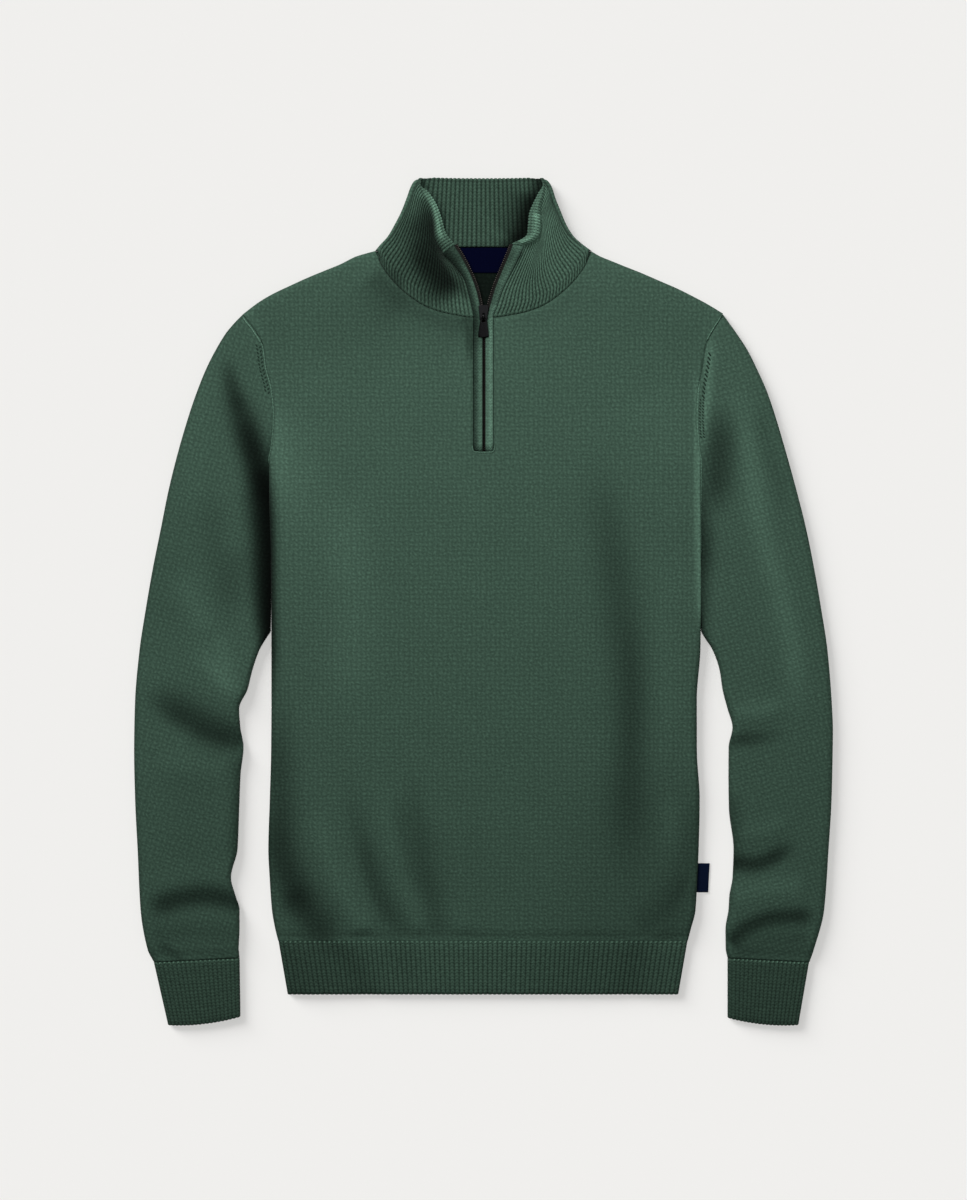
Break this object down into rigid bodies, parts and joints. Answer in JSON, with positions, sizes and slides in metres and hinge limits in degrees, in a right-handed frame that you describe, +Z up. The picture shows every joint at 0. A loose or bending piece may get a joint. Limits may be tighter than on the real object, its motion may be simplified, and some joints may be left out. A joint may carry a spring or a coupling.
{
  "type": "quarter zip sweater",
  "caption": "Knitted pullover with a half-open zip, ribbed stand collar, long sleeves and ribbed cuffs and hem, laid flat on its back.",
  "frame": {"origin": "centre of the garment's footprint on the surface it lies on", "axes": "+Z up off the surface, +Y towards the collar, +X towards the right of someone looking down at the front"},
  "size_m": [0.6788, 0.8226, 0.014],
  "materials": {
    "green_knit": "fine dotted bird's-eye knit in dark green heather wool, matt",
    "green_rib": "ribbed knit in the same dark green wool, matt",
    "zip_tape": "woven black zip tape",
    "zip_metal": "dark gunmetal, satin",
    "navy_label": "smooth woven navy label cloth, bare"
  },
  "bodies": {
    "sweater": {"front": "green_knit", "back": "green_knit", "sleeve_left": "green_knit", "sleeve_right": "green_knit", "cuff_left": "green_rib", "cuff_right": "green_rib", "hem_front": "green_rib", "hem_back": "green_rib", "collar": "green_rib", "zip_band_left": "green_knit", "zip_band_right": "green_knit", "zip_tape_left": "zip_tape", "zip_tape_right": "zip_tape", "zip_slider": "zip_metal", "neck_label": "navy_label", "side_label": "navy_label"},
    "pull_tab": {"zip_pull": "zip_metal"}
  },
  "joints": [
    {"name": "pull_swing", "type": "hinge", "parent": "sweater", "child": "pull_tab", "pos_m": [0, 0.2756, 0.0109], "axis": [-1, 0, 0], "range_deg": [0, 180]}
  ]
}
